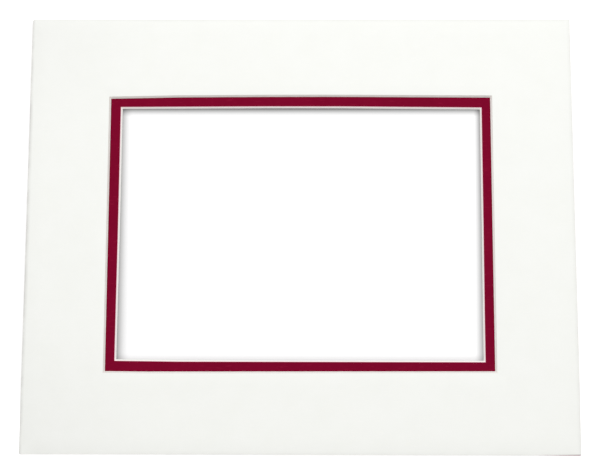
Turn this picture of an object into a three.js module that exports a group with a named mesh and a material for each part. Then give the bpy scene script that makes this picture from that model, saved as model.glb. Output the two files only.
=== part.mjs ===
// Double picture mount: two window boards bonded one on the other, laid over a picture in its frame.
// It lies on its back with the face up. Sizes are in millimetres: +X runs along the long side,
// +Y towards the top edge as it hangs, and +Z out of the face. The origin is under the middle of
// the mount, on the surface that it lies on.

import * as THREE from 'three';

// Driving dimensions
const MOUNT_WIDTH = 254; // outside, along X, to drop into a ten inch frame
const MOUNT_HEIGHT = 203.2; // outside, along Y, to drop into an eight inch frame
const WINDOW_WIDTH = 177.8; // top window, along X at the foot of its bevel, for a seven inch picture
const WINDOW_HEIGHT = 127.8; // top window, along Y at the foot of its bevel, for a five inch picture
const REVEAL = 4.1; // strip of the inner board's face that shows inside the top window
const BOARD_THICKNESS = 1.1; // one board, core and facing paper together
const FACING_THICKNESS = 0.2; // coloured paper on the face of each board
const BEVEL_ANGLE = 55; // slope of the window cuts from the board's face, in degrees
const TAPE_WIDTH = 12; // double-sided tape between the boards
const TAPE_THICKNESS = 0.1;
const TAPE_INSET = 6; // from the outer edge to the tape
const TAPE_END_GAP = 3; // from a short strip's end to the long strip beside it

// Worked out from the sizes above
const CORE_THICKNESS = BOARD_THICKNESS - FACING_THICKNESS;
const BEVEL_RUN = bevelRun(BOARD_THICKNESS);
const TOP_BOARD_HEIGHT = BOARD_THICKNESS + TAPE_THICKNESS;
const OUTLINE = [MOUNT_WIDTH / 2, MOUNT_HEIGHT / 2];
const TOP_WINDOW = [WINDOW_WIDTH / 2, WINDOW_HEIGHT / 2];
const INNER_WINDOW = grown(TOP_WINDOW, -REVEAL - BEVEL_RUN);

// Finishes
const IVORY_PAPER = { color: 0xf8f8f2, roughness: 0.85 };
const CRIMSON_PAPER = { color: 0x7c0b2b, roughness: 0.8 };
const WHITE_CORE = { color: 0xf4f0ea, roughness: 0.95 };
const CLEAR_TAPE = { color: 0xe6e2d2, roughness: 0.45 };

// How far a bevel moves in over a given depth of board.
function bevelRun(depth) {
  return depth / Math.tan(THREE.MathUtils.degToRad(BEVEL_ANGLE));
}

// Half the sides of a rectangle that is larger all round by a margin.
function grown([halfX, halfY], margin) {
  return [halfX + margin, halfY + margin];
}

// One solid frame, mitred at its four corners. Each ring is a rectangle at a height, given by half
// its sides. The rings run up the outer edge and down the window, and the last one joins the first.
function mitredFrame(rings) {
  const positions = [];
  for (const [[x, y], height] of rings) {
    positions.push(x, y, height, -x, y, height, -x, -y, height, x, -y, height);
  }
  const corners = 4;
  const faces = [];
  for (let ring = 0; ring < rings.length; ring += 1) {
    const here = ring * corners;
    const there = ((ring + 1) % rings.length) * corners;
    for (let corner = 0; corner < corners; corner += 1) {
      const next = (corner + 1) % corners;
      faces.push(here + corner, here + next, there + next);
      faces.push(here + corner, there + next, there + corner);
    }
  }
  const geometry = new THREE.BufferGeometry();
  geometry.setAttribute('position', new THREE.Float32BufferAttribute(positions, 3));
  geometry.setIndex(faces);
  geometry.computeVertexNormals();
  return geometry;
}

// One layer of a board, between two heights above the board's back. The opening is the window's half
// sides at the board's back, and it widens by the bevel towards the face.
function boardLayer(opening, bottom, top) {
  return mitredFrame([
    [OUTLINE, bottom],
    [OUTLINE, top],
    [grown(opening, bevelRun(top)), top],
    [grown(opening, bevelRun(bottom)), bottom],
  ]);
}

function piece(name, geometry, finish) {
  const mesh = new THREE.Mesh(geometry, new THREE.MeshStandardMaterial({ metalness: 0, ...finish }));
  mesh.name = name;
  return mesh;
}

// A window board: its core, and the coloured paper laid on the face before the window is cut.
function windowBoard(name, opening, facingFinish) {
  const board = new THREE.Group();
  board.add(piece(`${name}_core`, boardLayer(opening, 0, CORE_THICKNESS), WHITE_CORE));
  board.add(piece(`${name}_facing`, boardLayer(opening, CORE_THICKNESS, BOARD_THICKNESS), facingFinish));
  return board;
}

// A strip of tape, its middle at (x, y) and its underside at height zero.
function tapeStrip(name, x, y, alongX, alongY) {
  const geometry = new THREE.BoxGeometry(alongX, alongY, TAPE_THICKNESS);
  geometry.translate(0, 0, TAPE_THICKNESS / 2);
  const strip = piece(name, geometry, CLEAR_TAPE);
  strip.position.set(x, y, 0);
  return strip;
}

// Four strips of tape round the border, out of sight between the boards.
function bondTapes() {
  const tapes = new THREE.Group();
  const middleInset = TAPE_INSET + TAPE_WIDTH / 2;
  const sideX = MOUNT_WIDTH / 2 - middleInset;
  const sideY = MOUNT_HEIGHT / 2 - middleInset;
  const longStrip = MOUNT_WIDTH - 2 * TAPE_INSET;
  const shortStrip = MOUNT_HEIGHT - 2 * (TAPE_INSET + TAPE_WIDTH + TAPE_END_GAP);
  tapes.add(tapeStrip('tape_far', 0, sideY, longStrip, TAPE_WIDTH));
  tapes.add(tapeStrip('tape_near', 0, -sideY, longStrip, TAPE_WIDTH));
  tapes.add(tapeStrip('tape_left', -sideX, 0, TAPE_WIDTH, shortStrip));
  tapes.add(tapeStrip('tape_right', sideX, 0, TAPE_WIDTH, shortStrip));
  return tapes;
}

const innerBoard = windowBoard('inner_board', INNER_WINDOW, CRIMSON_PAPER);

const tapes = bondTapes();
tapes.position.z = BOARD_THICKNESS;

const topBoard = windowBoard('top_board', TOP_WINDOW, IVORY_PAPER);
topBoard.position.z = TOP_BOARD_HEIGHT;

const mount = new THREE.Group();
mount.add(innerBoard, tapes, topBoard);

export default mount;
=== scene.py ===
"""Dressed model of a double picture mount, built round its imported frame.

Two window boards lie one on the other, face up: an off-white top board over a crimson inner board,
whose face shows as a thin strip round the window. Lengths are in metres and in the frame's own
axes: +X along the long side, +Y towards the top edge as the mount hangs, and +Z out of the face.
"""

import logging
import math
from collections.abc import Callable
from dataclasses import asdict, dataclass
from enum import Enum

import bmesh
import bpy
from mathutils import Color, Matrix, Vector


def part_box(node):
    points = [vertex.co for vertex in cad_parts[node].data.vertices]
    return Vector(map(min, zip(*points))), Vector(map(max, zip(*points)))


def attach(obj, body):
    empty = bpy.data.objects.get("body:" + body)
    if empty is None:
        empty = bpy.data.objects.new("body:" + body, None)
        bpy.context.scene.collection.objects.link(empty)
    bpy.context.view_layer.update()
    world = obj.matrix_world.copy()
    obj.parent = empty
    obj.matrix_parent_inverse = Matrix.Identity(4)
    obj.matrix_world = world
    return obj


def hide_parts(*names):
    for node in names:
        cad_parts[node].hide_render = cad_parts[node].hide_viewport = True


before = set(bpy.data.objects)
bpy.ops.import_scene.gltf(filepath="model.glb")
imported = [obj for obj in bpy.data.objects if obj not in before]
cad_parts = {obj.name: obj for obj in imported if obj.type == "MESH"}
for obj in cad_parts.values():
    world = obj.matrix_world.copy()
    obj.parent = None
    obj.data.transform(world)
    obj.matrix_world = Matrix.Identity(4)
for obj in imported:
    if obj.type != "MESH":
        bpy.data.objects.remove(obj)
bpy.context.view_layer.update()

LOG = logging.getLogger("double_picture_mount")
MM = 0.001
TOUCH = 0.02 * MM  # a point this near a line or a plane lies on it
BODY = "root"
CORE_SLOT = "board_core"
BRIGHTEST = 255  # highest level of a channel on a screen

Colour = tuple[float, float, float, float]
Pair = tuple[float, float]
Triple = tuple[float, float, float]
PointTest = Callable[[Vector], bool]
Socket = bpy.types.NodeSocket
Feed = float | tuple[float, ...] | Socket


def srgb(red: int, green: int, blue: int) -> Colour:
    """Turn a colour as a screen shows it, 0 to 255, into the linear one that a shader takes."""
    shown = Color((red / BRIGHTEST, green / BRIGHTEST, blue / BRIGHTEST))
    return (*shown.from_srgb_to_scene_linear(), 1.0)


BLACK = srgb(0, 0, 0)
WHITE = srgb(BRIGHTEST, BRIGHTEST, BRIGHTEST)


class Element(Enum):
    """Kinds of mesh element that can be selected."""

    POINT = "VERT"
    EDGE = "EDGE"


class Falloff(Enum):
    """How a pull fades between its grip and the end of its reach."""

    SMOOTH = "SMOOTH"
    STRAIGHT = "LINEAR"
    NONE = "CONSTANT"


class Side(Enum):
    """Sides of the mount: the axis that each one faces along, and its sign."""

    LEFT = (0, -1)
    RIGHT = (0, 1)
    NEAR = (1, -1)
    FAR = (1, 1)

    @property
    def axis(self) -> int:
        """Axis that the side faces along, 0 for X and 1 for Y."""
        return self.value[0]

    @property
    def sign(self) -> int:
        """Direction that the side faces in along its axis."""
        return self.value[1]

    @property
    def run(self) -> int:
        """Axis that the side's edge runs along."""
        return 1 - self.axis


class Corner(Enum):
    """Corners that have taken knocks, by the signs of their X and Y."""

    FAR_LEFT = (-1, 1)
    NEAR_LEFT = (-1, -1)


@dataclass(frozen=True)
class Layer:
    """One layer of a board, as the frame gives it.

    Attributes:
        node: name of its CAD node.
        half: half the outline, along X and Y.
        bottom: height of the lower face.
        top: height of the upper face.
        foot: half the window at the lower face, along X and Y.
        head: half the window at the upper face, along X and Y.
    """

    node: str
    half: Pair
    bottom: float
    top: float
    foot: Pair
    head: Pair

    @classmethod
    def measured(cls, node: str) -> "Layer":
        """Measure a layer on its CAD node.

        Args:
            node: name of the CAD node.

        Returns:
            The layer, with its outline, heights and window.
        """
        low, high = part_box(node)
        points = [vertex.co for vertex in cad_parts[node].data.vertices]
        window = [point for point in points if abs(point.x) < high.x - TOUCH]

        def half_at(height: float) -> Pair:
            """Half the window at one height."""
            level = [point for point in window if abs(point.z - height) < TOUCH]
            return max(point.x for point in level), max(point.y for point in level)

        return cls(node, (high.x, high.y), low.z, high.z, half_at(low.z), half_at(high.z))


@dataclass(frozen=True)
class Blunting:
    """A corner of a board that has been knocked round.

    Attributes:
        corner: which corner it is.
        size: how far along each edge the rounding starts.
    """

    corner: Corner
    size: float

    def touches(self, point: Vector, half: Pair) -> bool:
        """Tell whether a point lies within the rounding, given half the outline."""
        inward = [half[axis] - point[axis] * self.corner.value[axis] for axis in (0, 1)]
        return max(inward) < self.size + TOUCH


@dataclass(frozen=True)
class Drift:
    """A departure of one edge from straight or square, as its cutter left it.

    Attributes:
        side: the side of the mount that the edge is on.
        at: place along the edge where it departs most, from -1 to 1.
        offset: how far it departs there, towards the outside.
        falloff: how the departure fades along the edge.
        reach: how far along the edge it fades, where 1 is half the edge.
        on_window: True for the window's edge, False for the outer one.
    """

    side: Side
    at: float
    offset: float
    falloff: Falloff = Falloff.STRAIGHT
    reach: float = 2.0
    on_window: bool = True


class Bench:
    """The cutting bench: one piece at a time is cut from sheet stock in edit mode."""

    STRAY = 0.7 * MM  # more than any drift, so that a drifted edge is still found
    STATION = 2 * STRAY  # points this near each other are at one station, also up a bevel's mitre
    CORNER_FLATS = 4  # flats round a blunted corner
    ARRIS_FLATS = 3  # flats over the outer arris
    RIM_FLATS = 2  # flats over the window's edge
    CREASE = math.radians(25)  # a fold sharper than this stays sharp
    DOUBLED = TOUCH / 20  # points this near each other are one

    def __init__(self, name: str, layer: Layer) -> None:
        """Lay a flat blank the size of a layer's outline at the height of its lower face.

        Args:
            name: name of the piece.
            layer: the layer to cut.
        """
        self.layer = layer
        bpy.ops.object.select_all(action="DESELECT")
        # One from the middle to each side, so that half the outline scales it to size
        bpy.ops.mesh.primitive_plane_add(size=2)
        self.piece = bpy.context.object
        self.piece.name = name
        self.piece.data.name = name
        bpy.ops.object.mode_set(mode="EDIT")
        bpy.ops.transform.resize(value=(*layer.half, 1))
        bpy.ops.transform.translate(value=(0, 0, layer.bottom))

    def pick(self, element: Element, test: PointTest) -> None:
        """Select the elements all of whose points pass a test, and nothing else.

        Args:
            element: kind of element.
            test: tells whether a point passes.
        """
        bpy.ops.mesh.select_mode(type=element.value)
        bpy.ops.mesh.select_all(action="DESELECT")
        mesh = bmesh.from_edit_mesh(self.piece.data)
        for item in mesh.verts if element is Element.POINT else mesh.edges:
            points = [item.co] if element is Element.POINT else [vertex.co for vertex in item.verts]
            if not item.hide and all(test(point) for point in points):
                item.select_set(True)
        mesh.select_flush_mode()
        bmesh.update_edit_mesh(self.piece.data)

    def cut_window(self) -> None:
        """Cut the window through the blank at its lower face, then raise it to its thickness."""
        layer = self.layer
        bpy.ops.mesh.select_all(action="SELECT")
        bpy.ops.mesh.inset(thickness=layer.half[0] - layer.foot[0], use_even_offset=True)
        # The inset is as wide along Y as along X, so the window is then drawn to its own height
        self.pick(Element.POINT, lambda point: abs(point.x) < layer.half[0] - TOUCH)
        waste = bmesh.from_edit_mesh(self.piece.data)
        cut = max(vertex.co.y for vertex in waste.verts if vertex.select)
        bpy.ops.transform.resize(value=(1, layer.foot[1] / cut, 1), center_override=(0, 0, 0))
        bpy.ops.mesh.select_mode(type="FACE")
        bpy.ops.mesh.delete(type="FACE")
        bpy.ops.mesh.select_all(action="SELECT")
        bpy.ops.mesh.extrude_region_move(
            TRANSFORM_OT_translate={"value": (0, 0, layer.top - layer.bottom)}
        )
        self.turn_faces_out()

    def lean_window(self) -> None:
        """Lean the window's sides back to the bevel that the blade cut."""
        layer = self.layer
        self.pick(
            Element.POINT,
            lambda point: point.z > layer.top - TOUCH and abs(point.x) < layer.half[0] - TOUCH,
        )
        lean = (layer.head[0] / layer.foot[0], layer.head[1] / layer.foot[1], 1)
        bpy.ops.transform.resize(value=lean, center_override=(0, 0, 0))

    def blunt(self, blunting: Blunting) -> None:
        """Round one outer corner.

        Args:
            blunting: the corner and its size.
        """
        half = self.layer.half
        corner = Vector((blunting.corner.value[0] * half[0], blunting.corner.value[1] * half[1]))
        self.pick(Element.EDGE, lambda point: (point.xy - corner).length < TOUCH)
        bpy.ops.mesh.bevel(offset=blunting.size, segments=self.CORNER_FLATS, affect="EDGES")

    def soften_outline(self, height: float, size: float, corners: list[Blunting]) -> None:
        """Soften the outer arris at one height, as the guillotine and the hands on the board leave
        it.

        Args:
            height: height of the arris.
            size: width of the softening.
            corners: the corners that have been rounded.
        """
        half = self.layer.half

        def on_arris(point: Vector) -> bool:
            """Tell whether a point lies on the outline at that height.

            Args:
                point: the point.

            Returns:
                True if it does.
            """
            edge = any(half[axis] - abs(point[axis]) < TOUCH for axis in (0, 1))
            rounded = any(corner.touches(point, half) for corner in corners)
            return abs(point.z - height) < TOUCH and (edge or rounded)

        self.pick(Element.EDGE, on_arris)
        bpy.ops.mesh.bevel(
            offset=size, segments=self.ARRIS_FLATS, affect="EDGES", loop_slide=False
        )

    def soften_window(self, height: float, half: Pair, size: float) -> None:
        """Take the sharpness off the window's edge at one height.

        Args:
            height: height of the edge.
            half: half the window there.
            size: width of the softening.
        """
        self.pick(
            Element.EDGE,
            lambda point: abs(point.z - height) < TOUCH
            and abs(point.x) < half[0] + TOUCH
            and abs(point.y) < half[1] + TOUCH,
        )
        bpy.ops.mesh.bevel(offset=size, segments=self.RIM_FLATS, affect="EDGES")

    def section(self, stations: tuple[int, int]) -> None:
        """Cut the piece across at even stations, so that its edges can bend.

        Args:
            stations: number of cuts along X and along Y.
        """
        for axis, count in enumerate(stations):
            normal = [0.0, 0.0, 0.0]
            normal[axis] = 1.0
            for step in range(1, count + 1):
                place = [0.0, 0.0, 0.0]
                place[axis] = self.layer.half[axis] * (2 * step / (count + 1) - 1)
                bpy.ops.mesh.select_all(action="SELECT")
                bpy.ops.mesh.bisect(plane_co=place, plane_no=normal)

    def drift(self, drift: Drift) -> None:
        """Move one edge off straight or square.

        Args:
            drift: which edge, where and by how much.
        """
        layer, side, stray = self.layer, drift.side, self.STRAY
        inner = layer.foot if drift.on_window else tuple(size - stray for size in layer.half)
        outer = layer.head if drift.on_window else layer.half
        length = outer[side.run]

        def on_edge(point: Vector) -> bool:
            """Tell whether a point lies on the edge, between its foot and its head.

            Args:
                point: the point.

            Returns:
                True if it does.
            """
            across, along = point[side.axis] * side.sign, abs(point[side.run])
            beside = inner[side.axis] - stray < across < outer[side.axis] + stray
            return beside and along < length + stray

        mesh = bmesh.from_edit_mesh(self.piece.data)
        places = [vertex.co[side.run] for vertex in mesh.verts if on_edge(vertex.co)]
        grip = min(places, key=lambda place: abs(place - drift.at * length))
        self.pick(Element.POINT, on_edge)
        bpy.ops.mesh.hide(unselected=True)
        self.pick(Element.POINT, lambda point: abs(point[side.run] - grip) < self.STATION)
        offset = [0.0, 0.0, 0.0]
        offset[side.axis] = side.sign * drift.offset
        bpy.ops.transform.translate(
            value=offset,
            use_proportional_edit=True,
            proportional_edit_falloff=drift.falloff.value,
            proportional_size=drift.reach * length,
        )
        bpy.ops.mesh.reveal(select=False)

    def turn_faces_out(self) -> None:
        """Make every face point outwards."""
        bpy.ops.mesh.select_all(action="SELECT")
        bpy.ops.mesh.normals_make_consistent(inside=False)

    def take_off(self) -> bpy.types.Object:
        """Merge what the cuts doubled, and lift the finished piece off the bench.

        Returns:
            The piece, with its place in its mesh.
        """
        bpy.ops.mesh.select_all(action="SELECT")
        bpy.ops.mesh.remove_doubles(threshold=self.DOUBLED)
        self.turn_faces_out()
        bpy.ops.object.mode_set(mode="OBJECT")
        bpy.ops.object.shade_smooth_by_angle(angle=self.CREASE)
        return self.piece


class Graph:
    """Adds and links the nodes of one material or node group."""

    # The inputs and outputs of a Mix node share their names, so they are told apart by number
    SHARE = 0
    VALUES = (2, 3)
    COLOURS = (6, 7)
    MIXED_VALUE = 0
    MIXED_COLOUR = 2

    def __init__(self, tree: bpy.types.NodeTree) -> None:
        """Work on a node tree."""
        self.tree = tree

    def link(self, feed: Socket, taker: Socket) -> None:
        """Link an output to an input."""
        self.tree.links.new(feed, taker)

    def add(
        self, kind: str, feeds: dict[str | int, Feed] | None = None, **settings: object
    ) -> bpy.types.Node:
        """Add a node.

        Args:
            kind: the node's type.
            feeds: what goes into its inputs: a number, a colour, or another node's output.
            settings: the node's own settings.

        Returns:
            The node.
        """
        node = self.tree.nodes.new(kind)
        for name, setting in settings.items():
            setattr(node, name, setting)
        for name, feed in (feeds or {}).items():
            if isinstance(feed, Socket):
                self.link(feed, node.inputs[name])
            else:
                node.inputs[name].default_value = feed
        return node

    def math(self, operation: str, first: Feed, second: Feed = 0.0, clamp: bool = False) -> Socket:
        """Work out one operation on two values, and clamp it to zero and one where asked."""
        feeds = {0: first, 1: second}
        return self.add("ShaderNodeMath", feeds, operation=operation, use_clamp=clamp).outputs[0]

    def blend(self, share: Feed, first: Feed, second: Feed) -> Socket:
        """Blend two colours, by the share of the second one."""
        feeds = {self.SHARE: share, **dict(zip(self.COLOURS, (first, second)))}
        return self.add("ShaderNodeMix", feeds, data_type="RGBA").outputs[self.MIXED_COLOUR]

    def between(self, share: Feed, first: Feed, second: Feed) -> Socket:
        """Find the value that lies a share of the way from one value to another."""
        feeds = {self.SHARE: share, **dict(zip(self.VALUES, (first, second)))}
        return self.add("ShaderNodeMix", feeds, data_type="FLOAT").outputs[self.MIXED_VALUE]

    def spread(
        self, value: Feed, low: float, high: float, to_low: Feed = 0.0, to_high: Feed = 1.0
    ) -> Socket:
        """Stretch a value's range from low to high over another range, and clamp it there."""
        feeds = {0: value, 1: low, 2: high, 3: to_low, 4: to_high}
        return self.add("ShaderNodeMapRange", feeds, clamp=True).outputs[0]

    def nearness(self, distance: Feed, reach: Feed) -> Socket:
        """Find how near a place is: one at no distance, falling to zero at the reach."""
        return self.math("SUBTRACT", 1.0, self.math("DIVIDE", distance, reach), clamp=True)

    def noise(
        self, vector: Feed, scale: Feed, detail: float = 3.0, roughness: float = 0.55
    ) -> Socket:
        """Make noise of so many patches in a metre, whose values lie round 0.5."""
        feeds = {"Vector": vector, "Scale": scale, "Detail": detail, "Roughness": roughness}
        return self.add("ShaderNodeTexNoise", feeds).outputs[0]

    def stretched(self, vector: Feed, scale: Triple, turn: float = 0.0) -> Socket:
        """Turn coordinates about Z, and scale them along X, Y and Z."""
        feeds = {"Vector": vector, "Rotation": (0.0, 0.0, turn), "Scale": scale}
        return self.add("ShaderNodeMapping", feeds).outputs[0]

    def place(self) -> Socket:
        """Give the object's own coordinates."""
        return self.add("ShaderNodeTexCoord").outputs["Object"]

    def along(self, vector: Feed) -> bpy.types.NodeOutputs:
        """Split coordinates into X, Y and Z."""
        return self.add("ShaderNodeSeparateXYZ", {0: vector}).outputs

    def towards(self, side: Side, axes: bpy.types.NodeOutputs) -> Socket:
        """Find how far a point lies from the middle of the mount towards one side."""
        return self.math("MULTIPLY", axes[side.axis], side.sign)


class Effect:
    """An effect that several materials share: a node group that gives masks and heights."""

    name = "effect"
    takes: dict[str, float] = {}
    gives: tuple[str, ...] = ()

    def group(self) -> bpy.types.NodeTree:
        """Give the node group, and build it the first time.

        Returns:
            The node group.
        """
        known = bpy.data.node_groups.get(self.name)
        if known:
            return known
        tree = bpy.data.node_groups.new(self.name, "ShaderNodeTree")
        kind = "NodeSocketFloat"
        for label, value in self.takes.items():
            socket = tree.interface.new_socket(label, in_out="INPUT", socket_type=kind)
            socket.default_value = value
        for label in self.gives:
            tree.interface.new_socket(label, in_out="OUTPUT", socket_type=kind)
        graph = Graph(tree)
        results = self.work_out(graph, graph.add("NodeGroupInput").outputs)
        graph.add("NodeGroupOutput", results)
        return tree

    def work_out(self, graph: Graph, taken: bpy.types.NodeOutputs) -> dict[str, Feed]:
        """Work out each output's name and what feeds it, from the group's inputs."""
        raise NotImplementedError

    def use(self, graph: Graph, values: dict[str, float]) -> bpy.types.NodeOutputs:
        """Place the effect in a material.

        Args:
            graph: the material's graph.
            values: the material's own values for the group's inputs.

        Returns:
            The effect's outputs.
        """
        node = graph.add("ShaderNodeGroup", node_tree=self.group())
        for name, value in values.items():
            node.inputs[name].default_value = value
        return node.outputs


class PaperTooth(Effect):
    """The felt-like tooth, soft mottling and stray fibres of a sheet of paper."""

    name = "paper tooth"
    takes = {"Grain": 1800.0, "Mottle": 90.0, "Fibres": 260.0}
    gives = ("Height", "Mottle", "Fibres")

    FELT = 0.23  # marks of the felt to a grain of tooth
    FELT_SHARE = 0.35  # share of the height that is the felt's
    MOTTLE = (0.3, 0.7)  # range of the noise that makes the mottle
    LAYS = ((0.0, 9.0, 0.66), (math.radians(63), 7.0, 0.68))  # turn, slimness and rarity of fibres
    FIBRE_EDGE = 0.08  # softness of a fibre's edge

    def work_out(self, graph: Graph, taken: bpy.types.NodeOutputs) -> dict[str, Feed]:
        """Work out the tooth's height, the mottling and where single fibres lie.

        Args:
            graph: the group's graph.
            taken: the group's inputs.

        Returns:
            Each output's name and what feeds it.
        """
        place = graph.place()
        grain = graph.noise(place, taken["Grain"], detail=4.0, roughness=0.65)
        coarse = graph.math("MULTIPLY", taken["Grain"], self.FELT)
        felt = graph.noise(place, coarse, detail=2.0)
        mottle = graph.noise(place, taken["Mottle"], detail=5.0, roughness=0.6)
        fibres: Feed = 0.0
        for turn, slimness, rarity in self.LAYS:
            lay = graph.stretched(place, (1.0, slimness, 1.0), turn)
            strands = graph.noise(lay, taken["Fibres"], detail=1.0)
            picked = graph.spread(strands, rarity, rarity + self.FIBRE_EDGE)
            fibres = graph.math("MAXIMUM", fibres, picked)
        return {
            "Height": graph.between(self.FELT_SHARE, grain, felt),
            "Mottle": graph.spread(mottle, *self.MOTTLE),
            "Fibres": fibres,
        }


@dataclass(frozen=True)
class Handling:
    """How much rub and painted shade each part of a board's outline has, from zero to one.

    Attributes:
        left: the left edge.
        right: the right edge.
        far: the far edge.
        near: the near edge.
        left_corners: painted shade in wide soft patches at the two left corners.
    """

    left: float = 1.0
    right: float = 1.0
    far: float = 1.0
    near: float = 1.0
    left_corners: float = 0.0

    def values(self) -> dict[str, float]:
        """Give each strength under the name of the input that takes it."""
        strengths = asdict(self).items()
        return {name.replace("_", " ").title(): strength for name, strength in strengths}


class EdgeRub(Effect):
    """Greying near a board's outline, where it is worn by use, and painted shade along cut edges
    and at the left corners.
    """

    name = "edge rub"
    takes = {
        "Half Width": 1.0,
        "Half Height": 1.0,
        "Reach": 2 * MM,
        "Corner Reach": 60 * MM,
        **Handling().values(),
    }
    gives = ("Rub",)

    FADE = 1.6  # power that makes the rub fade inwards
    PATCHES = 140.0  # patches of rub in a metre
    PATCH_RANGE = (0.35, 0.65)  # range of the noise that makes the patches
    THINNEST = 0.5  # share of the rub that is left between patches

    @staticmethod
    def along_sides(half: Pair) -> dict[str, float]:
        """Give half the sides that the rub runs along under the names of their inputs."""
        return {"Half Width": half[0], "Half Height": half[1]}

    def work_out(self, graph: Graph, taken: bpy.types.NodeOutputs) -> dict[str, Feed]:
        """Work out the rub and painted shade: strongest at the outline, fading over the reach, and
        broken up, with painted shade at the left corners.

        Args:
            graph: the group's graph.
            taken: the group's inputs.

        Returns:
            Each output's name and what feeds it.
        """
        place = graph.place()
        axes = graph.along(place)
        halves = (taken["Half Width"], taken["Half Height"])
        inward = {
            side: graph.math("SUBTRACT", halves[side.axis], graph.towards(side, axes))
            for side in Side
        }
        strips: Feed = 0.0
        for side, distance in inward.items():
            near = graph.math("POWER", graph.nearness(distance, taken["Reach"]), self.FADE)
            strip = graph.math("MULTIPLY", near, taken[side.name.title()])
            strips = graph.math("MAXIMUM", strips, strip)
        blots = graph.noise(place, self.PATCHES, detail=4.0)
        patches = graph.spread(blots, *self.PATCH_RANGE, self.THINNEST, 1.0)
        # Painted shade in soft patches at the two left corners.
        from_end = graph.math("MINIMUM", inward[Side.FAR], inward[Side.NEAR])
        offset = graph.add("ShaderNodeCombineXYZ", {0: inward[Side.LEFT], 1: from_end})
        length = graph.add("ShaderNodeVectorMath", {0: offset.outputs[0]}, operation="LENGTH")
        corner = graph.nearness(length.outputs["Value"], taken["Corner Reach"])
        corners = graph.math("MULTIPLY", corner, taken["Left Corners"])
        return {"Rub": graph.math("MAXIMUM", corners, graph.math("MULTIPLY", strips, patches))}


class CutFibre(Effect):
    """The plies, blade lines and torn fibres that a cut through the board lays bare."""

    name = "cut fibre"
    takes = {"Back": 0.0, "Thickness": 1.1 * MM, "Plies": 3.0}
    gives = ("Height", "Ply Line", "Back Paper")

    WANDER = (160.0, 0.12)  # waves of a ply line in a metre, and their height to the thickness
    MIDDLE = 0.5  # a ply line runs through the middle of each ply's share
    LINE = 0.06  # half a ply line's width, to a ply's thickness
    BREAKS = (420.0, 0.4, 0.6)  # breaks of a ply line in a metre, and the range of their noise
    BLADE = (60.0, 60.0, 9000.0)  # streaks of the blade in a metre, along X, Y and Z
    FLUFF = 5200.0  # tufts of torn fibre in a metre
    FLUFF_SHARE = 0.4  # share of the height that is torn fibre
    PAPER = (0.03, 0.02)  # share of the thickness where the back's paper starts and is full

    def work_out(self, graph: Graph, taken: bpy.types.NodeOutputs) -> dict[str, Feed]:
        """Work out the height of the cut, the lines between plies and the paper on the back.

        Args:
            graph: the group's graph.
            taken: the group's inputs.

        Returns:
            Each output's name and what feeds it.
        """
        place = graph.place()
        waves, sway = self.WANDER
        wander = graph.math("MULTIPLY", graph.noise(place, waves, detail=2.0), sway)
        above = graph.math("SUBTRACT", graph.along(place)["Z"], taken["Back"])
        depth = graph.math("DIVIDE", above, taken["Thickness"])
        plies = graph.math("MULTIPLY", graph.math("ADD", depth, wander), taken["Plies"])
        offset = graph.math("SUBTRACT", graph.math("FRACT", plies), self.MIDDLE)
        line = graph.spread(graph.math("ABSOLUTE", offset), self.LINE, 0.0)
        breaks, low, high = self.BREAKS
        broken = graph.spread(graph.noise(place, breaks), low, high)
        streaks = graph.noise(graph.stretched(place, self.BLADE), 1.0)
        fluff = graph.noise(place, self.FLUFF, roughness=0.7)
        return {
            "Height": graph.between(self.FLUFF_SHARE, streaks, fluff),
            "Ply Line": graph.math("MULTIPLY", line, broken),
            "Back Paper": graph.spread(depth, *self.PAPER),
        }


@dataclass(frozen=True)
class Finish:
    """What every finish of the mount shares.

    Attributes:
        name: name of the material.
        colour: its main colour.
        roughness: how matt it is at its smoothest and its roughest.
        gloss: strength of its reflections, where 0.5 is a plain plastic's.
        tooth: depth of its surface texture.
    """

    name: str
    colour: Colour
    roughness: Pair
    gloss: float
    tooth: float

    HEIGHTS = (0.3, 0.7)  # range of heights over which the roughness changes

    def material(self) -> bpy.types.Material:
        """Give the material, and build it the first time.

        Returns:
            The material.
        """
        known = bpy.data.materials.get(self.name)
        if known:
            return known
        material = bpy.data.materials.new(self.name)
        material.use_nodes = True
        graph = Graph(material.node_tree)
        self.shade(graph, material.node_tree.nodes["Principled BSDF"].inputs)
        return material

    def shade(self, graph: Graph, shader: bpy.types.NodeInputs) -> None:
        """Build the material's nodes, and feed the inputs of its shader."""
        raise NotImplementedError

    def surface(
        self, graph: Graph, shader: bpy.types.NodeInputs, colour: Socket, height: Socket
    ) -> None:
        """Feed the shader a colour and a height, and a roughness that follows the height.

        Args:
            graph: the material's graph.
            shader: the inputs of its shader.
            colour: the colour over the surface.
            height: the height over the surface, from zero to one.
        """
        smoothest, roughest = self.roughness
        bump = graph.add(
            "ShaderNodeBump", {"Strength": 1.0, "Distance": self.tooth, "Height": height}
        )
        shader["Specular IOR Level"].default_value = self.gloss
        graph.link(colour, shader["Base Color"])
        graph.link(graph.spread(height, *self.HEIGHTS, roughest, smoothest), shader["Roughness"])
        graph.link(bump.outputs[0], shader["Normal"])


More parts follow.
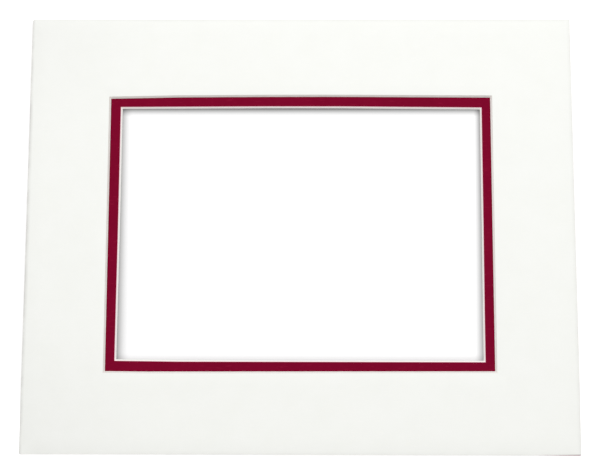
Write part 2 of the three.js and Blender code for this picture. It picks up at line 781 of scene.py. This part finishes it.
@dataclass(frozen=True)
class FacingPaper(Finish):
    """The coloured paper on the face of a board.

    Attributes:
        mottle: colour of the darker patches in the paper.
        fibre: colour of single fibres.
        rubbed: colour where the edge is worn, and of the painted shade at the corners.
        cut: colour of the cut through it at the window.
        mottle_share: how much of the mottle's colour shows.
        fibre_share: how much of a fibre's colour shows.
        rub_share: how much of the rub and of the painted corner shade shows.
        handling: how much of that each part of the outline has.
        grain: grains of tooth in a metre.
        half: half the board's outline.
    """

    SLOPES = (0.5, 0.9)  # the normal's upward part is between these on the slope of that cut

    mottle: Colour
    fibre: Colour
    rubbed: Colour
    cut: Colour
    mottle_share: float
    fibre_share: float
    rub_share: float
    handling: Handling
    grain: float
    half: Pair

    def shade(self, graph: Graph, shader: bpy.types.NodeInputs) -> None:
        """Build mottled, toothed paper, worn along its outline, with painted shade at its corners
        where asked, and bare in its cut.

        Args:
            graph: the material's graph.
            shader: the inputs of its shader.
        """
        outline = EdgeRub.along_sides(self.half)
        tooth = PaperTooth().use(graph, {"Grain": self.grain})
        # The rub here also carries the painted shade at the left corners.
        rub = EdgeRub().use(graph, {**outline, **self.handling.values()})["Rub"]
        colour = self.colour
        for mask, share, tint in (
            (tooth["Mottle"], self.mottle_share, self.mottle),
            (tooth["Fibres"], self.fibre_share, self.fibre),
            (rub, self.rub_share, self.rubbed),
        ):
            colour = graph.blend(graph.math("MULTIPLY", mask, share), colour, tint)
        colour = graph.blend(self.window_cut(graph), colour, self.cut)
        self.surface(graph, shader, colour, tooth["Height"])

    def window_cut(self, graph: Graph) -> Socket:
        """Find the slope that the window's cut leaves in the paper.

        Args:
            graph: the material's graph.

        Returns:
            One on that slope, and zero on the face.
        """
        normal = graph.add("ShaderNodeNewGeometry").outputs["True Normal"]
        upward = graph.along(normal)["Z"]
        steepest, flattest = self.SLOPES
        tilted = graph.math("LESS_THAN", upward, flattest)
        return graph.math("MULTIPLY", tilted, graph.math("GREATER_THAN", upward, steepest))


@dataclass(frozen=True)
class BoardCore(Finish):
    """The white core of a board, its cut edges, and the paper on its back.

    Attributes:
        ply_line: colour of the glue lines between the plies.
        back_paper: colour of the paper on the back.
        rubbed: colour where a cut is worn, and of the painted shade on the window's cuts.
        back: height of the board's back.
        thickness: thickness of the board.
        half: half the board's outline.
        window: half the board's window at its face.
        window_grime: how much of that colour is painted as shade on the window's cuts on the far
            and left sides.
        line_share: how much of a ply line's colour shows.
        rub_share: how much of the rub shows.
        rub_reach: how far the rub reaches inwards.
        grime_reach: how far the painted shade reaches in from a bevel's head, which is past its
            foot.
        fibre_share: how much of a fibre's colour shows in the paper on the back.
        grain: grains of that paper's tooth in a metre.
        patches: patches of its mottle in a metre.
    """

    ply_line: Colour
    back_paper: Colour
    rubbed: Colour
    back: float
    thickness: float
    half: Pair
    window: Pair
    window_grime: float
    line_share: float = 0.5
    rub_share: float = 0.35
    rub_reach: float = 0.4 * MM
    grime_reach: float = 4 * MM
    fibre_share: float = 0.25
    grain: float = 2200.0
    patches: float = 60.0

    def shade(self, graph: Graph, shader: bpy.types.NodeInputs) -> None:
        """Build a fibrous cut with its plies, painted shade on the window's far and left cuts, and
        paper on the back.

        Args:
            graph: the material's graph.
            shader: the inputs of its shader.
        """
        outline, bevels = EdgeRub.along_sides(self.half), EdgeRub.along_sides(self.window)
        cut = CutFibre().use(graph, {"Back": self.back, "Thickness": self.thickness})
        tooth = PaperTooth().use(graph, {"Grain": self.grain, "Mottle": self.patches})
        rub = EdgeRub().use(graph, {**outline, "Reach": self.rub_reach})["Rub"]
        # Painted shade on the window's cuts, along the far and left sides only.
        grimy = Handling(right=0.0, near=0.0).values()
        grime = EdgeRub().use(graph, {**bevels, "Reach": self.grime_reach, **grimy})["Rub"]
        line = graph.math("MULTIPLY", cut["Ply Line"], self.line_share)
        wear = graph.math(
            "MAXIMUM",
            graph.math("MULTIPLY", rub, self.rub_share),
            graph.math("MULTIPLY", grime, self.window_grime),
        )
        fibre = graph.math("MULTIPLY", tooth["Fibres"], self.fibre_share)
        bare = graph.blend(wear, graph.blend(line, self.colour, self.ply_line), self.rubbed)
        paper = graph.blend(fibre, self.back_paper, self.ply_line)
        colour = graph.blend(cut["Back Paper"], bare, paper)
        height = graph.between(cut["Back Paper"], cut["Height"], tooth["Height"])
        self.surface(graph, shader, colour, height)


@dataclass(frozen=True)
class TissueTape(Finish):
    """Double-sided tissue tape, squeezed between the boards.

    Attributes:
        soaked: colour where the glue is thickest.
        fibre: colour of single fibres.
        soak_share: how much of the soaked colour shows.
        fibre_share: how much of a fibre's colour shows.
        tissue: values of the tissue's tooth.
    """

    soaked: Colour
    fibre: Colour
    soak_share: float
    fibre_share: float
    tissue: dict[str, float]

    def shade(self, graph: Graph, shader: bpy.types.NodeInputs) -> None:
        """Build a thin fibrous tissue soaked in glue.

        Args:
            graph: the material's graph.
            shader: the inputs of its shader.
        """
        tooth = PaperTooth().use(graph, self.tissue)
        soak = graph.math("MULTIPLY", tooth["Mottle"], self.soak_share)
        fibres = graph.math("MULTIPLY", tooth["Fibres"], self.fibre_share)
        colour = graph.blend(fibres, graph.blend(soak, self.colour, self.soaked), self.fibre)
        self.surface(graph, shader, colour, tooth["Height"])


@dataclass
class WindowBoard:
    """One board of the mount: a core with a bevelled window, and a coloured paper on its face.

    Attributes:
        name: what the board is called in its pieces' names.
        core: the core's layer.
        facing: the facing paper's layer.
        facing_slot: material slot of the facing paper.
        paper: finish of the facing paper.
        cutting: finish of the core.
        blunted: the outer corners that are knocked round.
        drifts: where its edges are off straight or square.
        stations: cuts across the board that let its edges bend, along X and along Y.
        arris: softening of the outer edge.
        rim: softening of the window's edge.
    """

    name: str
    core: Layer
    facing: Layer
    facing_slot: str
    paper: FacingPaper
    cutting: BoardCore
    blunted: list[Blunting]
    drifts: list[Drift]
    stations: tuple[int, int] = (31, 25)
    arris: float = 0.07 * MM
    rim: float = 0.025 * MM

    def build(self) -> list[bpy.types.Object]:
        """Cut and dress both layers.

        Returns:
            The core and the facing paper.
        """
        return [
            self.cut("core", self.core, self.cutting, CORE_SLOT, upper=False),
            self.cut("facing_paper", self.facing, self.paper, self.facing_slot, upper=True),
        ]

    def cut(
        self, part: str, layer: Layer, finish: Finish, slot: str, upper: bool
    ) -> bpy.types.Object:
        """Cut one layer, soften its edges at the board's face or back, and dress it.

        Args:
            part: what the layer is called in its piece's name.
            layer: the layer.
            finish: its finish.
            slot: its material slot; not used.
            upper: True to soften its upper edges, False to soften its lower ones.

        Returns:
            The piece.
        """
        height, window = (layer.top, layer.head) if upper else (layer.bottom, layer.foot)
        bench = Bench(f"{self.name}_{part}", layer)
        bench.cut_window()
        bench.lean_window()
        for blunting in self.blunted:
            bench.blunt(blunting)
        bench.soften_outline(height, self.arris, self.blunted)
        bench.soften_window(height, window, self.rim)
        bench.section(self.stations)
        for drift in self.drifts:
            bench.drift(drift)
        piece = bench.take_off()
        piece.data.materials.append(finish.material())
        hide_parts(layer.node)
        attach(piece, BODY)
        return piece


@dataclass
class BondTape:
    """The four strips of tape between the boards, dressed as they are in the frame.

    Attributes:
        nodes: CAD nodes of the strips.
        finish: their finish.
    """

    nodes: tuple[str, ...]
    finish: TissueTape

    def dress(self) -> list[bpy.types.Object]:
        """Give each strip its finish.

        Returns:
            The strips.
        """
        strips = [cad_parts[node] for node in self.nodes]
        for strip in strips:
            strip.data.materials.clear()
            strip.data.materials.append(self.finish.material())
        return strips


@dataclass(frozen=True)
class ContactShade:
    """The soft shade painted into the floor's colour along one edge of the window.

    Attributes:
        side: the side of the window.
        depth: how dark it is at the edge, from zero to one.
        widths: how far it reaches into the window at the edge's near or left end, and at the other.
        fade: power that makes it fade with distance.
    """

    side: Side
    depth: float
    widths: Pair
    fade: float = 1.5


@dataclass
class Studio:
    """The pale floor, the soft light and the camera.

    Attributes:
        window: half the mount's window at the floor, along X and Y.
        floor_reach: half the side of the floor.
        floor_drop: how far the floor is below the mount's back, so that the two faces stay apart.
        floor_colour: colour of the floor.
        floor_roughness: how matt the floor is.
        border: where the mount's border hides the floor's changes, outwards from the window's edge.
        shades: the shades painted along the window's edges.
        lift_within: how much the floor inside the window is brightened to the camera alone.
        lift_round: the same outside the mount, where the floor is white.
        lift_near: the same beyond the mount's near side.
        ambient: light of the world.
        lamp_place: place of the soft lamp.
        lamp_size: side of the soft lamp.
        lamp_power: power of the soft lamp.
        camera_place: place of the camera.
        camera_turn: its turns about X, Y and Z, in degrees.
        lens: its focal length, in millimetres.
        sensor: width of its sensor, in millimetres.
        nearest: the nearest distance that it sees.
    """

    window: Pair
    floor_reach: float = 6.0
    floor_drop: float = 0.05 * MM
    floor_colour: Colour = srgb(249, 249, 249)
    floor_roughness: float = 0.9
    border: Pair = (15 * MM, 25 * MM)
    shades: tuple[ContactShade, ...] = (
        ContactShade(Side.FAR, depth=0.9, widths=(4.1 * MM, 4.1 * MM)),
        ContactShade(Side.LEFT, depth=0.66, widths=(6.6 * MM, 5.6 * MM), fade=2.0),
        ContactShade(Side.RIGHT, depth=0.66, widths=(4.2 * MM, 3.0 * MM)),
        ContactShade(Side.NEAR, depth=0.28, widths=(3.5 * MM, 3.5 * MM)),
    )
    lift_within: float = 0.14
    lift_round: float = 0.2
    lift_near: float = 0.45
    ambient: float = 0.575
    lamp_place: Triple = (0.08, 0.31, 0.89)
    lamp_size: float = 0.7
    lamp_power: float = 4.6
    camera_place: Triple = (0.00453, -0.08109, 0.57316)
    camera_turn: Triple = (7.831, 0.445, 0.141)
    lens: float = 74.83
    sensor: float = 36.0
    nearest: float = 10 * MM

    def build(self) -> None:
        """Build the floor, light it and place the camera."""
        self.build_floor()
        self.light_world()
        self.hang_lamp()
        self.place_camera()

    def build_floor(self) -> bpy.types.Object:
        """Build the floor.

        Returns:
            The floor.
        """
        bpy.ops.object.select_all(action="DESELECT")
        bpy.ops.mesh.primitive_plane_add(
            size=2 * self.floor_reach, location=(0, 0, -self.floor_drop)
        )
        floor = bpy.context.object
        floor.name = "studio_floor"
        floor.data.materials.append(self.floor_material())
        return floor

    def floor_material(self) -> bpy.types.Material:
        """Make the floor white to the camera, with the mount's shadow and a shade painted at its
        window.

        Returns:
            The floor's material.
        """
        material = bpy.data.materials.new("white studio floor")
        material.use_nodes = True
        graph = Graph(material.node_tree)
        nodes = material.node_tree.nodes
        shader = nodes["Principled BSDF"]
        axes = graph.along(graph.place())
        past = {
            side: graph.math("SUBTRACT", graph.towards(side, axes), self.window[side.axis])
            for side in Side
        }
        outwards: Feed = -self.floor_reach
        for distance in past.values():
            outwards = graph.math("MAXIMUM", outwards, distance)
        # Painted shade along the window's edges darkens the floor's colour and its lift.
        shaded = self.window_light(graph, axes, past)
        lit = graph.between(graph.spread(outwards, *self.border), shaded, 1.0)
        shader.inputs["Roughness"].default_value = self.floor_roughness
        graph.link(graph.blend(lit, BLACK, self.floor_colour), shader.inputs["Base Color"])
        strength = graph.math("MULTIPLY", self.lift(graph, past, outwards), lit)
        glow = graph.add("ShaderNodeEmission", {"Strength": strength})
        both = graph.add("ShaderNodeAddShader", {0: shader.outputs[0], 1: glow.outputs[0]})
        graph.link(both.outputs[0], nodes["Material Output"].inputs["Surface"])
        return material

    def window_light(
        self, graph: Graph, axes: bpy.types.NodeOutputs, past: dict[Side, Socket]
    ) -> Socket:
        """Find how much of the floor's colour the painted shades along the window's edges leave.

        Args:
            graph: the floor's graph.
            axes: coordinates of a point of the floor.
            past: how far the point is past the window's edge on each side.

        Returns:
            The share that they leave, from zero to one.
        """
        light: Feed = 1.0
        for edge in self.shades:
            half = self.window[edge.side.run]
            width = graph.spread(axes[edge.side.run], -half, half, *edge.widths)
            inside = graph.math("MULTIPLY", past[edge.side], -1.0)
            soft = graph.math("POWER", graph.nearness(inside, width), edge.fade)
            left = graph.math("SUBTRACT", 1.0, graph.math("MULTIPLY", soft, edge.depth))
            light = graph.math("MULTIPLY", light, left)
        return light

    def lift(self, graph: Graph, past: dict[Side, Socket], outwards: Socket) -> Socket:
        """Brighten the floor to the camera, more outside the mount than in its window.

        Args:
            graph: the floor's graph.
            past: how far a point is past the window's edge on each side.
            outwards: the furthest of these.

        Returns:
            The light to add, none of which reaches the mount.
        """
        everywhere = graph.spread(outwards, *self.border, self.lift_within, self.lift_round)
        nearby = graph.spread(past[Side.NEAR], *self.border, 0.0, self.lift_near)
        seen = graph.add("ShaderNodeLightPath").outputs["Is Camera Ray"]
        return graph.math("MULTIPLY", graph.math("MAXIMUM", everywhere, nearby), seen)

    def light_world(self) -> None:
        """Fill the world with an even light, white where the camera sees it."""
        world = bpy.data.worlds.new("white studio")
        bpy.context.scene.world = world
        world.use_nodes = True
        graph = Graph(world.node_tree)
        background = world.node_tree.nodes["Background"].inputs
        paths = graph.add("ShaderNodeLightPath").outputs
        seen = graph.math("MAXIMUM", paths["Is Camera Ray"], paths["Is Glossy Ray"])
        graph.link(graph.between(seen, self.ambient, 1.0), background["Strength"])
        background["Color"].default_value = WHITE

    def hang_lamp(self) -> None:
        """Hang the soft lamp beyond the far side, and aim it at the mount."""
        bpy.ops.object.light_add(type="AREA", location=self.lamp_place)
        lamp = bpy.context.object
        lamp.name = "soft_lamp"
        lamp.data.shape = "SQUARE"
        lamp.data.size = self.lamp_size
        lamp.data.energy = self.lamp_power
        lamp.rotation_euler = Vector(self.lamp_place).to_track_quat("Z", "Y").to_euler()

    def place_camera(self) -> None:
        """Place the camera where the photograph was taken from."""
        turns = [math.radians(turn) for turn in self.camera_turn]
        bpy.ops.object.camera_add(location=self.camera_place, rotation=turns)
        camera = bpy.context.object
        camera.name = "camera"
        camera.data.lens = self.lens
        camera.data.sensor_width = self.sensor
        camera.data.clip_start = self.nearest
        bpy.context.scene.camera = camera


def ivory_paper(half: Pair) -> FacingPaper:
    """The off-white paper of the top board.

    Args:
        half: half the board's outline.

    Returns:
        The finish.
    """
    return FacingPaper(
        name="ivory facing paper",
        colour=srgb(250, 251, 247),
        roughness=(0.78, 0.92),
        gloss=0.12,
        tooth=0.012 * MM,
        mottle=srgb(247, 248, 243),
        fibre=srgb(255, 254, 250),
        rubbed=srgb(205, 204, 201),
        cut=srgb(222, 219, 213),
        mottle_share=0.6,
        fibre_share=0.3,
        rub_share=0.9,
        # Darker along the outline, most on the left; the left corners carry painted shade.
        handling=Handling(left=1.0, right=0.35, far=0.2, near=0.2, left_corners=0.12),
        grain=1500.0,
        half=half,
    )


def crimson_paper(half: Pair) -> FacingPaper:
    """The crimson paper of the inner board.

    Args:
        half: half the board's outline.

    Returns:
        The finish.
    """
    return FacingPaper(
        name="crimson facing paper",
        colour=srgb(126, 3, 42),
        roughness=(0.7, 0.88),
        gloss=0.05,
        tooth=0.02 * MM,
        mottle=srgb(115, 2, 36),
        fibre=srgb(150, 26, 58),
        rubbed=srgb(160, 70, 90),
        cut=srgb(250, 190, 206),
        mottle_share=0.5,
        fibre_share=0.4,
        rub_share=0.3,
        handling=Handling(left=1.0, right=0.6, far=0.6, near=0.6),
        grain=1700.0,
        half=half,
    )


def white_core(name: str, core: Layer, facing: Layer, window_grime: float) -> BoardCore:
    """The white core of a board.

    Args:
        name: name of the material.
        core: the board's core.
        facing: the board's facing.
        window_grime: how much painted shade lies on the cuts on the far and left sides.

    Returns:
        The finish.
    """
    return BoardCore(
        name=name,
        colour=srgb(251, 248, 244),
        roughness=(0.85, 0.97),
        gloss=0.1,
        tooth=0.03 * MM,
        ply_line=srgb(222, 215, 206),
        back_paper=srgb(240, 238, 232),
        rubbed=srgb(206, 201, 194),
        back=core.bottom,
        thickness=facing.top - core.bottom,
        half=core.half,
        window=core.head,
        window_grime=window_grime,
    )


def tissue_tape() -> TissueTape:
    """The tape that bonds the boards.

    Returns:
        The finish.
    """
    return TissueTape(
        name="tissue tape",
        colour=srgb(228, 222, 204),
        roughness=(0.35, 0.6),
        gloss=0.4,
        tooth=0.02 * MM,
        soaked=srgb(206, 198, 172),
        fibre=srgb(246, 243, 232),
        soak_share=0.3,
        fibre_share=0.5,
        tissue={"Grain": 900.0, "Mottle": 200.0, "Fibres": 420.0},
    )


def inner_board() -> WindowBoard:
    """The crimson board underneath, as the photograph shows it.

    Returns:
        The board.
    """
    core, facing = Layer.measured("inner_board_core"), Layer.measured("inner_board_facing")
    return WindowBoard(
        name="inner_board_cut",
        core=core,
        facing=facing,
        facing_slot="crimson_paper",
        paper=crimson_paper(facing.half),
        cutting=white_core("inner board core", core, facing, window_grime=0.0),
        blunted=[Blunting(Corner.FAR_LEFT, 0.6 * MM)],
        drifts=[
            Drift(Side.FAR, at=-1.0, offset=-0.34 * MM, reach=0.8),
            Drift(Side.FAR, at=1.0, offset=-0.5 * MM, reach=0.75),
            Drift(Side.NEAR, at=-1.0, offset=-0.3 * MM, reach=0.35),
            Drift(Side.LEFT, at=1.0, offset=-0.3 * MM),
            Drift(Side.LEFT, at=0.0, offset=-0.08 * MM, falloff=Falloff.SMOOTH, reach=1.0),
            Drift(Side.LEFT, at=-1.0, offset=0.1 * MM),
            Drift(Side.RIGHT, at=1.0, offset=0.17 * MM),
            Drift(Side.RIGHT, at=-0.6, offset=-0.09 * MM, reach=0.8),
        ],
    )


def top_board() -> WindowBoard:
    """The off-white board on top, as the photograph shows it.

    Returns:
        The board.
    """
    core, facing = Layer.measured("top_board_core"), Layer.measured("top_board_facing")
    return WindowBoard(
        name="top_board_cut",
        core=core,
        facing=facing,
        facing_slot="ivory_paper",
        paper=ivory_paper(facing.half),
        # Painted shade on the far and left cuts of the window.
        cutting=white_core("top board core", core, facing, window_grime=0.45),
        blunted=[Blunting(Corner.FAR_LEFT, 1.1 * MM), Blunting(Corner.NEAR_LEFT, 0.4 * MM)],
        drifts=[
            Drift(Side.FAR, at=0.1, offset=0.41 * MM, falloff=Falloff.SMOOTH, reach=1.1),
            Drift(Side.FAR, at=-1.0, offset=-0.55 * MM, reach=0.35),
            Drift(Side.FAR, at=1.0, offset=0.08 * MM, reach=0.5),
            Drift(Side.NEAR, at=0.0, offset=0.26 * MM, falloff=Falloff.NONE),
            Drift(Side.NEAR, at=1.0, offset=-0.3 * MM),
            Drift(Side.NEAR, at=-1.0, offset=-0.2 * MM, reach=0.2),
            Drift(Side.NEAR, at=-1.0, offset=0.2 * MM),
            Drift(Side.LEFT, at=0.0, offset=0.2 * MM, falloff=Falloff.NONE),
            Drift(Side.RIGHT, at=0.0, offset=0.1 * MM, falloff=Falloff.NONE),
            Drift(Side.NEAR, at=1.0, offset=-0.35 * MM, reach=0.2, on_window=False),
        ],
    )


def main() -> None:
    """Build the studio and the mount, and report each piece."""
    logging.basicConfig(level=logging.INFO, format="%(name)s: %(message)s")
    lower, upper = inner_board(), top_board()
    Studio(window=lower.core.foot).build()
    tapes = BondTape(("tape_far", "tape_near", "tape_left", "tape_right"), tissue_tape())
    for piece in lower.build() + upper.build() + tapes.dress():
        faces, finish = len(piece.data.polygons), piece.data.materials[0].name
        LOG.info("%s: %d faces, %s", piece.name, faces, finish)
    bpy.context.scene.view_settings.view_transform = "Standard"


if __name__ == "__main__":
    main()
